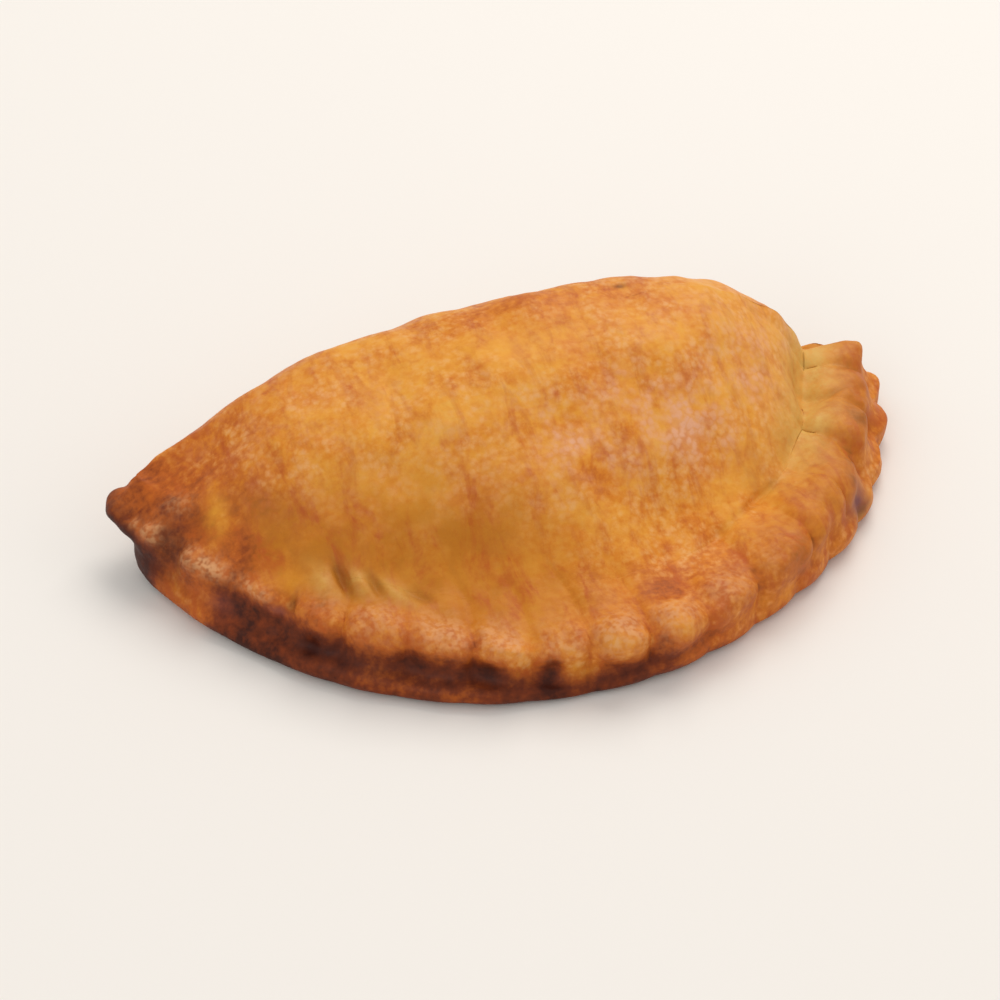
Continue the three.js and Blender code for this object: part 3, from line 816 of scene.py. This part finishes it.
    def crust_relief(self, grid: Grid) -> Array:
        """Fine relief of the crust, mm outward: soft swellings, blisters, crags and marks.

        Each term is a height in mm times waves or blisters of one size in mm, with their seed.

        Args:
            grid: the smooth surface.

        Returns:
            Rows by columns.
        """
        p, c = grid.points, grid.control
        edge_crags = grid.rimness * band(4.6, 2.4, c)
        tip = ease(40, 16, grid.distance) * ease(-4, 6, grid.distance) * ease(-9, -3, c)
        relief = sum(depth * waves(p, size, seed) for depth, size, seed in self.swellings)
        relief += 0.14 * (blisters(p, 3.1, 4) - 0.45) * (0.7 + 0.3 * waves(p, 14.0, 5))
        relief += 0.08 * (blisters(p, 1.9, 9) - 0.45)
        relief += edge_crags * (0.6 * waves(p, 3.6, 6) + 0.2 * (blisters(p, 2.6, 12) - 0.4))
        relief += grid.rimness * band(3.4, 3.0, c) * 0.55 * waves(p, 7.5, 23)
        relief += tip * (0.4 * waves(p, 4.6, 7) + 0.3 * (blisters(p, 3.4, 15) - 0.5))
        for mark in MARKS:
            if mark.depth:
                relief += mark.depth * mark.share(p)
        return relief - self.relief_mean

    def tints(self, grid: Grid, points: Array) -> dict[Tint, Array]:
        """How much of each tint every point has.

        Each term is a level times steps and bells of the place: x and z are plan and height, s is
        the distance along the rim and c the row across it, all as the grid has them. Browning
        grows to the left, on the crests' sides and on the lip; painted shade darkens the notches,
        the groove, the lip, the tip's underside and the foot.

        Args:
            grid: the smooth surface.
            points: the surface with its relief.

        Returns:
            Rows by columns for each tint.
        """
        c, rimmed = grid.control, grid.rimness
        x, z = points[..., 0], points[..., 2]
        s = grid.distance
        on_dome = ease(1.5, -2.0, c)
        notch = np.clip(-grid.crimp, 0.0, 0.6) / 0.6
        low = ease(26, 9, z)
        b = self.browning_and_shade
        low_crust = band(100, 13, s)
        lip = rimmed * ease(4.6, 7.5, c - 2.6 * low_crust)
        near_tip = np.abs(s)

        # The ground, the dome and the crests, with painted shade in the notches between the crimps
        brown = b.ground + b.left_end * ease(-26, -62, x) + b.low_down * low
        brown += on_dome * (b.dome_left * band(-32, 20, x) + b.dome_right * band(42, 12, x))
        brown += rimmed * b.crest * band(4.0, 2.2, c)
        notch_shade = b.notch + b.right_notch_shade * ease(118, 135, s)
        brown += rimmed * notch_shade * notch * band(4.8, 2.6, c)
        brown += rimmed * b.right_crest * band(4.4, 3.0, c) * ease(110, 135, s)
        brown += b.valley * rimmed * band(0.5, 3.0, c) * ease(46, 60, s) * ease(128, 108, s)
        brown += b.last_crests * rimmed * band(3.0, 2.5, c) * ease(196, 208, s)

        # The lip, the left tip and the foot: browning, with painted shade on the lip, under the
        # tip and along the foot
        lip_left = ease(36, 28, s) * ease(10, 20, s)
        brown += lip * (b.lip + b.right_lip * ease(108, 140, s) + b.left_lip * lip_left)
        brown += lip * (b.front_lip_shade * band(96, 20, s) + b.seeped_lip * band(54, 10, s))
        brown += b.tip * ease(24, 4, near_tip) * rimmed
        brown += b.tip_underside_shade * ease(20, 8, near_tip) * rimmed * ease(4.6, 6.6, c)
        brown += b.foot * ease(3.5, 0.4, z)
        brown += b.fold_foot * (1 - rimmed) * ease(16, 4, z)

        # Straw-coloured valleys, pooled glaze, crumbs with a painted highlight on the crests,
        # stains, painted shade in the groove and along the bottom edge, and rosy haze with painted
        # sheen
        pale = rimmed * band(-0.4, 1.5, c) * 0.15 * ease(44, 54, s) * ease(84, 70, s)
        pale += rimmed * band(0.4, 2.2, c) * ease(150, 178, s) * ease(222, 214, s)
        glaze = rimmed * ease(-12, -3, c) * ease(4.5, 1.5, c) * ease(34, 46, s) * ease(128, 90, s)
        glaze += 0.6 * rimmed * ease(125, 150, s) * band(4.0, 3.0, c)
        # Pale crumbs on the crest tops, partly a painted highlight
        crumb_and_highlight = rimmed * band(3.6, 1.7, c - low_crust) * np.clip(grid.crimp + 0.25, 0.0, 1.0)
        crumb_and_highlight *= 0.7 * ease(50, 70, s) * ease(150, 120, s) + 0.15
        # Painted shade in the groove under the rim's overhang, deeper below the notches
        stain_and_shade = rimmed * band(8.0, 1.6, c - 1.4 * low_crust) * ease(44, 56, s) * ease(128, 106, s)
        stain_and_shade *= 0.6 + 0.4 * notch
        # Painted shadow along the bottom edge, where the lip meets the floor
        stain_and_shade += 0.4 * ease(1.0, 0.2, z) * ease(14.5, 12.0, c)
        # Rosy haze and painted sheen on the dome, more to the right where the light falls, less on
        # the crown
        haze_and_sheen = 0.2 + 0.25 * ease(-20, 30, x) - 0.25 * ease(31, 36, z)
        haze_and_sheen *= on_dome * ease(15, 25, z)
        levels = {
            Tint.BROWN_AND_SHADE: brown,
            Tint.PALE: pale,
            Tint.GOLD: 0.0 * z,
            Tint.HAZE_AND_SHEEN: haze_and_sheen,
            Tint.CRUMB_AND_HIGHLIGHT: crumb_and_highlight,
            Tint.STAIN_AND_SHADE: stain_and_shade,
            Tint.PLUM: 0.0 * z,
            Tint.GLAZE: glaze,
        }
        for mark in MARKS:
            levels[mark.tint] = levels[mark.tint] + mark.strength * mark.share(points)
        return levels

    def triangles(self, rows: int) -> Array:
        """Corner numbers of the closed surface's triangles.

        Strips run between neighbouring columns. Along the ridge each front column has its own
        point, and each back column shares two of them by three triangles. Below the last row,
        rings step in to a middle point.

        Args:
            rows: rows of the grid, the ridge's among them.

        Returns:
            Triangles by three.
        """
        front, count = self.front_columns, self.front_columns * 3 // 2
        ridge = np.arange(front + 1)
        body = front + 1 + np.arange((rows - 1 + self.base_rings) * count)
        body = body.reshape(rows - 1 + self.base_rings, count)
        a, b = body[:-1], body[1:]
        a2, b2 = np.roll(a, -1, axis=1), np.roll(b, -1, axis=1)
        parts = [np.stack([a, b, b2], -1), np.stack([a, b2, a2], -1)]
        here, there = body[0], np.roll(body[0], -1)
        f = slice(0, front)
        parts.append(np.stack([ridge[:-1], here[f], there[f]], -1))
        parts.append(np.stack([ridge[:-1], there[f], ridge[1:]], -1))
        start = front - 2 * np.arange(count - front)
        h, t = here[front:], there[front:]
        parts.append(np.stack([ridge[start], h, ridge[start - 1]], -1))
        parts.append(np.stack([ridge[start - 1], h, t], -1))
        parts.append(np.stack([ridge[start - 1], t, ridge[start - 2]], -1))
        middle = np.full(count, front + 1 + body.size)
        parts.append(np.stack([body[-1], middle, np.roll(body[-1], -1)], -1))
        return np.concatenate([part.reshape(-1, 3) for part in parts])

    def flatten(self, values: Array, rings: Array, middle: Array) -> Array:
        """Lays grid values out in the order of the corner numbers.

        Args:
            values: rows by columns, with or without a last axis.
            rings: the base rings' values.
            middle: the middle point's value.

        Returns:
            The ridge's points, the columns' points, the rings' and the middle.
        """
        tail = values.shape[2:]
        ridge = values[0, : self.front_columns + 1]
        parts = [ridge, values[1:].reshape(-1, *tail), rings.reshape(-1, *tail), middle[None]]
        return np.concatenate(parts)

    def build(self, crust: "GlazedCrust") -> bpy.types.Object:
        """Makes the mesh, its tints and its finish.

        Args:
            crust: the finish.

        Returns:
            The object, in metres in the frame.
        """
        grid = self.grid()
        p = grid.points
        centre = np.array([*BOX_MIDDLE, 0.0])
        fade = ease(*self.relief_fade, p[..., 2])
        lift = (self.lumps(p) + self.crust_relief(grid)) * fade
        points = p + self.normals(p) * lift[..., None]
        points[..., 2] = np.maximum(points[..., 2], 0.0)
        tints = self.tints(grid, points)

        share = (np.arange(1, self.base_rings + 1) / (self.base_rings + 1))[:, None, None]
        rings = mix(points[-1][None], centre, share)
        rings[..., 2] = self.bubble_height * np.maximum(waves(rings, self.bubble_size, 21), 0.0)
        rings[..., 2] *= np.sin(share[..., 0] * math.pi)
        flat = self.flatten(points, rings, centre)
        faces = self.triangles(len(points))

        mesh = bpy.data.meshes.new("crimped_turnover")
        mesh.from_pydata(((flat - centre) * MM).tolist(), [], faces.tolist())
        mesh.polygons.foreach_set("use_smooth", np.ones(len(faces), bool))
        for tint, level in tints.items():
            edge_level = level[-1][None] * np.ones((self.base_rings, 1))
            values = self.flatten(level, edge_level, level[-1].mean())
            attribute = mesh.attributes.new(tint.value, "FLOAT", "POINT")
            attribute.data.foreach_set("value", values.astype(np.float32))
        mesh.update()
        mesh.validate()
        mesh.materials.append(crust.material())
        piece = bpy.data.objects.new("crimped_turnover", mesh)
        bpy.context.scene.collection.objects.link(piece)
        return piece


def linear(colour: str, alpha: float = 1.0) -> tuple[float, float, float, float]:
    """Turns an sRGB hex colour to linear light by the sRGB curve.

    Args:
        colour: six hex digits after a hash.
        alpha: opacity.

    Returns:
        Red, green, blue and alpha.
    """
    parts = [int(colour[i : i + 2], 16) / 255 for i in (1, 3, 5)]
    curved = [c / 12.92 if c <= 0.04045 else ((c + 0.055) / 1.055) ** 2.4 for c in parts]
    return (*curved, alpha)


def add(
    tree: bpy.types.NodeTree,
    kind: str,
    values: dict[str | int, object] | None = None,
    links: dict[str | int, bpy.types.NodeSocket] | None = None,
    **options: object,
) -> bpy.types.Node:
    """Adds a node with its options, its own socket values and its links.

    Args:
        tree: where it goes.
        kind: Blender's name of the node type.
        values: input socket to value.
        links: input socket to the output that feeds it.
        options: the node's own properties.

    Returns:
        The node.
    """
    node = tree.nodes.new(kind)
    for name, option in options.items():
        setattr(node, name, option)
    for name, value in (values or {}).items():
        node.inputs[name].default_value = value
    for name, source in (links or {}).items():
        tree.links.new(source, node.inputs[name])
    return node


@dataclass(frozen=True)
class GlazedCrust:
    """Shortcrust pastry brushed with beaten egg and oven baked.

    The egg gives a soft satin gloss and a golden ground; it browns in speckles where the dough
    blistered, goes orange to red-brown where it lay thick, and stays straw-coloured in the folds.
    """

    baked: tuple[tuple[float, str], ...] = (
        (0.0, "#e4aa4a"),
        (0.2, "#e39b36"),
        (0.4, "#d57f22"),
        (0.58, "#b85d1a"),
        (0.78, "#7f3612"),
        (1.0, "#42180a"),
    )
    egg_gold: str = "#e39d2e"
    pooled_glaze: str = "#ba7218"
    russet: str = "#b2501a"
    fold_straw: str = "#d6aa58"
    # Rosy haze, and painted sheen on the dome
    rosy_haze_and_sheen: str = "#e2a680"
    # Pale blister tops, partly a painted highlight
    blister_pale_and_highlight: str = "#e6b078"
    # Pale crumbly crust, partly a painted highlight on the crests
    crumb_pale_and_highlight: str = "#dfa673"
    plum: str = "#7c4644"
    # Dark tone of the filling stains, also used for painted shade in the groove, slits, creases
    # and hollows and along the bottom edge
    filling_stain_and_shade: str = "#42170c"
    roughness: float = 0.5

    # Sizes of the patterns, mm. The speckle is drawn a little coarser than real to show.
    patch_size: float = 15.0
    mottle_size: float = 4.6
    speckle_size: float = 1.5
    granule_size: float = 1.35
    grain_size: float = 0.6
    cloud_size: float = 6.0
    fleck_size: float = 2.2
    cluster_size: float = 8.0
    crumb_size: float = 1.0
    streak_length: float = 9.0
    streak_width: float = 1.2
    streak_depth: float = 5.0
    streak_turn: float = math.radians(38.0)
    run_length: float = 9.0
    run_width: float = 3.4
    run_turn: float = 0.3
    warp: float = 1.7

    def material(self) -> bpy.types.Material:
        """Builds the finish.

        Browning is the tint from the mesh, painted shade in it too, plus noise at three sizes,
        brush streaks and painted shade in the seams between blisters, read off a ramp of baked
        colours. The other tints, painted sheen and highlights among them, are mixed over it
        through noise of their own.

        Returns:
            The material.
        """
        material = bpy.data.materials.new("glazed_crust")
        material.use_nodes = True
        tree = material.node_tree
        tree.nodes.clear()
        place = add(tree, "ShaderNodeTexCoord").outputs["Object"]
        in_mm = add(tree, "ShaderNodeMapping", {"Scale": (1 / MM,) * 3}, {"Vector": place})
        scaled = in_mm.outputs[0]

        def noise(size: float, detail: float, rough: float, at: Point) -> bpy.types.NodeSocket:
            """Noise of one size in mm, from its own place."""
            moved = add(tree, "ShaderNodeMapping", {"Location": at}, {"Vector": scaled})
            settings = {"Scale": 1.0 / size, "Detail": detail, "Roughness": rough}
            return add(
                tree, "ShaderNodeTexNoise", settings, {"Vector": moved.outputs[0]}
            ).outputs["Fac"]

        def drawn_out(
            turn: float, scale: Point, detail: float, rough: float, wander: float
        ) -> bpy.types.NodeSocket:
            """Noise stretched along one way, turned round the upright axis."""
            way = {"Rotation": (0.0, 0.0, turn), "Scale": scale}
            turned = add(tree, "ShaderNodeMapping", way, {"Vector": scaled}).outputs[0]
            settings = {"Scale": 1.0, "Detail": detail, "Roughness": rough, "Distortion": wander}
            return add(tree, "ShaderNodeTexNoise", settings, {"Vector": turned}).outputs["Fac"]

        def reckon(kind: str, *terms: object) -> bpy.types.NodeSocket:
            """Chains a sum, product or the like over numbers and sockets, kept from 0 to 1."""
            total = terms[0]
            for term in terms[1:]:
                pair = (total, term)
                values = {i: v for i, v in enumerate(pair) if isinstance(v, float)}
                links = {i: v for i, v in enumerate(pair) if not isinstance(v, float)}
                total = add(
                    tree, "ShaderNodeMath", values, links, operation=kind, use_clamp=True
                ).outputs[0]
            return total

        def eased(
            source: bpy.types.NodeSocket, low: float, high: float, start: float, stop: float
        ) -> bpy.types.NodeSocket:
            """A socket's values from low to high, eased over to another range."""
            values = {1: low, 2: high, 3: start, 4: stop}
            return add(
                tree, "ShaderNodeMapRange", values, {0: source}, interpolation_type="SMOOTHSTEP"
            ).outputs[0]

        def tint(which: Tint) -> bpy.types.NodeSocket:
            """A tint's level, from the mesh."""
            return add(tree, "ShaderNodeAttribute", attribute_name=which.value).outputs["Fac"]

        patches = noise(self.patch_size, 2.0, 0.5, (3.0, 1.0, 7.0))
        mottle = noise(self.mottle_size, 4.0, 0.6, (11.0, 5.0, 2.0))
        speckle = noise(self.speckle_size, 3.0, 0.6, (1.0, 9.0, 4.0))
        soft = eased(noise(self.cloud_size, 3.0, 0.55, (8.0, 3.0, 9.0)), 0.32, 0.66, 0.0, 1.0)
        fine = eased(noise(self.fleck_size, 4.0, 0.65, (4.0, 4.0, 1.0)), 0.3, 0.7, 0.0, 1.0)

        stretch = (1.0 / self.streak_length, 1.0 / self.streak_width, 1.0 / self.streak_depth)
        streaks = drawn_out(self.streak_turn, stretch, 3.0, 0.55, 0.4)
        runs = (1.0 / self.run_width, 1.0 / self.run_length, 1.0 / self.run_length)
        drips = drawn_out(self.run_turn, runs, 4.0, 0.62, 0.5)

        warp = add(
            tree, "ShaderNodeTexNoise", {"Scale": 0.5, "Detail": 3.0}, {"Vector": scaled}
        ).outputs["Color"]
        shifted = add(
            tree,
            "ShaderNodeVectorMath",
            {1: (self.warp,) * 3},
            {0: warp, 2: scaled},
            operation="MULTIPLY_ADD",
        ).outputs[0]
        cell = add(
            tree,
            "ShaderNodeTexVoronoi",
            {"Scale": 1.0 / self.granule_size},
            {"Vector": shifted},
            feature="F1",
        ).outputs["Distance"]
        granule = eased(cell, 0.1, 0.85, 1.0, 0.0)
        crumbs = noise(self.crumb_size, 1.0, 0.5, (2.0, 7.0, 5.0))
        crumbs = eased(crumbs, 0.34, 0.66, 0.2, 0.75)
        grainy = noise(self.cluster_size, 2.0, 0.5, (6.0, 2.0, 8.0))
        grainy = eased(grainy, 0.4, 0.6, 0.25, 1.0)
        granular = reckon("MULTIPLY", granule, grainy)
        # Painted shade in the seams between blisters
        seam_shade = reckon("MULTIPLY", reckon("SUBTRACT", 1.0, granule), grainy)

        level = reckon(
            "ADD",
            tint(Tint.BROWN_AND_SHADE),
            eased(patches, 0.3, 0.7, -0.05, 0.06),
            eased(mottle, 0.25, 0.75, -0.08, 0.09),
            eased(speckle, 0.3, 0.75, -0.05, 0.08),
            eased(streaks, 0.3, 0.7, -0.02, 0.03),
            reckon("MULTIPLY", seam_shade, 0.06),
        )
        ramp = add(tree, "ShaderNodeValToRGB", links={"Fac": level})
        elements = ramp.color_ramp.elements
        while len(elements) < len(self.baked):
            elements.new(0.5)
        for element, (position, tone) in zip(elements, self.baked):
            element.position = position
            element.color = linear(tone)
        colour = ramp.outputs["Color"]

        layers = (
            (
                # Pale blister tops, partly a painted highlight
                self.blister_pale_and_highlight,
                (
                    granular,
                    eased(speckle, 0.35, 0.7, 0.5, 0.0),
                    eased(level, 0.3, 0.6, 1.0, 0.0),
                    eased(tint(Tint.GLAZE), 0.0, 1.0, 1.0, 0.2),
                ),
            ),
            (self.pooled_glaze, (tint(Tint.GLAZE), eased(soft, 0.0, 1.0, 0.95, 0.65))),
            (
                self.russet,
                (
                    eased(drips, 0.46, 0.7, 0.0, 0.75),
                    eased(level, 0.2, 0.5, 0.5, 1.0),
                    eased(level, 0.52, 0.68, 1.0, 0.0),
                ),
            ),
            (self.egg_gold, (tint(Tint.GOLD), eased(soft, 0.0, 1.0, 0.35, 0.85))),
            (self.fold_straw, (tint(Tint.PALE), eased(fine, 0.0, 1.0, 0.5, 0.9))),
            # Rosy haze and painted sheen on the granules
            (self.rosy_haze_and_sheen, (tint(Tint.HAZE_AND_SHEEN), eased(granule, 0.0, 1.0, 0.35, 0.95), soft)),
            # Pale crumbs, partly a painted highlight on the crests
            (self.crumb_pale_and_highlight, (tint(Tint.CRUMB_AND_HIGHLIGHT), crumbs)),
            (self.plum, (tint(Tint.PLUM), eased(soft, 0.0, 1.0, 0.65, 0.9))),
            # Filling stains, and painted shade in the groove, slits, creases and hollows and along
            # the bottom edge
            (self.filling_stain_and_shade, (tint(Tint.STAIN_AND_SHADE), eased(fine, 0.0, 1.0, 0.65, 0.95))),
        )
        for tone, shares in layers:
            colour = add(
                tree,
                "ShaderNodeMix",
                {"B": linear(tone)},
                {"Factor": reckon("MULTIPLY", *shares), "A": colour},
                data_type="RGBA",
            ).outputs["Result"]

        gloss = reckon(
            "ADD",
            eased(mottle, 0.3, 0.7, 0.06, -0.06),
            self.roughness,
            reckon("MULTIPLY", tint(Tint.CRUMB_AND_HIGHLIGHT), 0.12),
        )
        height = reckon(
            "ADD",
            reckon("MULTIPLY", granular, 0.15),
            reckon("MULTIPLY", speckle, 0.3),
            reckon("MULTIPLY", noise(self.grain_size, 2.0, 0.5, (5.0, 8.0, 3.0)), 0.2),
        )
        bump = add(
            tree,
            "ShaderNodeBump",
            {"Strength": 0.6, "Distance": 0.35 * MM},
            {"Height": height},
        ).outputs["Normal"]
        shader = add(
            tree,
            "ShaderNodeBsdfPrincipled",
            {"IOR": 1.45, "Specular IOR Level": 0.22},
            {"Base Color": colour, "Roughness": gloss, "Normal": bump},
        )
        add(tree, "ShaderNodeOutputMaterial", links={"Surface": shader.outputs["BSDF"]})
        return material


@dataclass(frozen=True)
class MattPaper:
    """Matt seamless paper: plain, pale and without gloss."""

    tone: str = "#efece8"
    roughness: float = 0.9

    def material(self) -> bpy.types.Material:
        """Builds the finish, plain on purpose."""
        material = bpy.data.materials.new("matt_paper")
        material.use_nodes = True
        tree = material.node_tree
        tree.nodes.clear()
        values = {"Base Color": linear(self.tone), "Roughness": self.roughness}
        shader = add(tree, "ShaderNodeBsdfPrincipled", values)
        add(tree, "ShaderNodeOutputMaterial", links={"Surface": shader.outputs["BSDF"]})
        return material


@dataclass
class Studio:
    """Floor, soft light and camera.

    The target is in mm round the disc's centre; the steps shift the aim aside and up, in metres.
    """

    floor_half: float = 3.0
    azimuth: float = math.radians(-19.646)
    elevation: float = math.radians(39.811)
    distance: float = 0.6
    lens: float = 122.15
    target: Point = (-7.0, -33.0, 11.0)
    surround: float = 0.62
    side_step: float = -1.92 * MM
    up_step: float = 0.65 * MM

    def floor(self) -> bpy.types.Object:
        """Lays the paper under the pastry."""
        mesh = bpy.data.meshes.new("floor")
        h = self.floor_half
        mesh.from_pydata([(-h, -h, 0), (h, -h, 0), (h, h, 0), (-h, h, 0)], [], [(0, 1, 2, 3)])
        mesh.materials.append(MattPaper().material())
        floor = bpy.data.objects.new("floor", mesh)
        bpy.context.scene.collection.objects.link(floor)
        return floor

    def panel(self, name: str, at: Point, size: float, power: float, tone: str) -> None:
        """Hangs a soft square light that faces the pastry.

        Args:
            name: the light's name.
            at: its middle, m.
            size: its side, m.
            power: watts.
            tone: its colour.
        """
        light = bpy.data.lights.new(name, "AREA")
        light.energy = power
        light.size = size
        light.color = linear(tone)[:3]
        lamp = bpy.data.objects.new(name, light)
        lamp.location = at
        lamp.rotation_euler = (-Vector(at)).to_track_quat("-Z", "Y").to_euler()
        bpy.context.scene.collection.objects.link(lamp)

    def lights(self) -> None:
        """Lights the room: an even pale surround, a wide key from the right and a weak fill."""
        world = bpy.data.worlds.new("surround")
        world.use_nodes = True
        background = world.node_tree.nodes["Background"]
        background.inputs["Color"].default_value = linear("#fffdfa")
        background.inputs["Strength"].default_value = self.surround
        bpy.context.scene.world = world
        self.panel("key_panel", (0.45, 0.55, 0.95), 0.8, 7.0, "#fff8f0")
        self.panel("fill_panel", (-0.7, -0.6, 0.7), 0.7, 2.0, "#fffdfa")
        self.panel("side_panel", (0.9, -0.5, 0.6), 0.7, 1.0, "#fffaf4")

    def camera(self) -> None:
        """Sets the camera at the photograph's height and side."""
        a, e = self.azimuth, self.elevation
        back = Vector((math.sin(a) * math.cos(e), -math.cos(a) * math.cos(e), math.sin(e)))
        right = Vector((math.cos(a), math.sin(a), 0.0))
        up = back.cross(right)
        middle = Vector((*BOX_MIDDLE, 0.0))
        aim = (Vector(self.target) - middle) * MM + right * self.side_step + up * self.up_step
        data = bpy.data.cameras.new("camera")
        data.lens = self.lens
        data.clip_start = 0.01
        camera = bpy.data.objects.new("camera", data)
        camera.location = aim + back * self.distance
        camera.rotation_euler = back.to_track_quat("Z", "Y").to_euler()
        bpy.context.scene.collection.objects.link(camera)
        bpy.context.scene.camera = camera


def main() -> None:
    """Builds the pastry and the studio and puts the pastry on its body."""
    logging.basicConfig(level=logging.INFO, format="%(name)s: %(message)s")
    scene = bpy.context.scene
    scene.view_settings.view_transform = "Standard"
    piece = Turnover().build(GlazedCrust())
    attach(piece, "root")
    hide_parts("turnover")
    log.info("%s: %d triangles", piece.name, len(piece.data.polygons))
    studio = Studio()
    floor = studio.floor()
    studio.lights()
    studio.camera()
    log.info("%s and lights in place", floor.name)


if __name__ == "__main__":
    main()
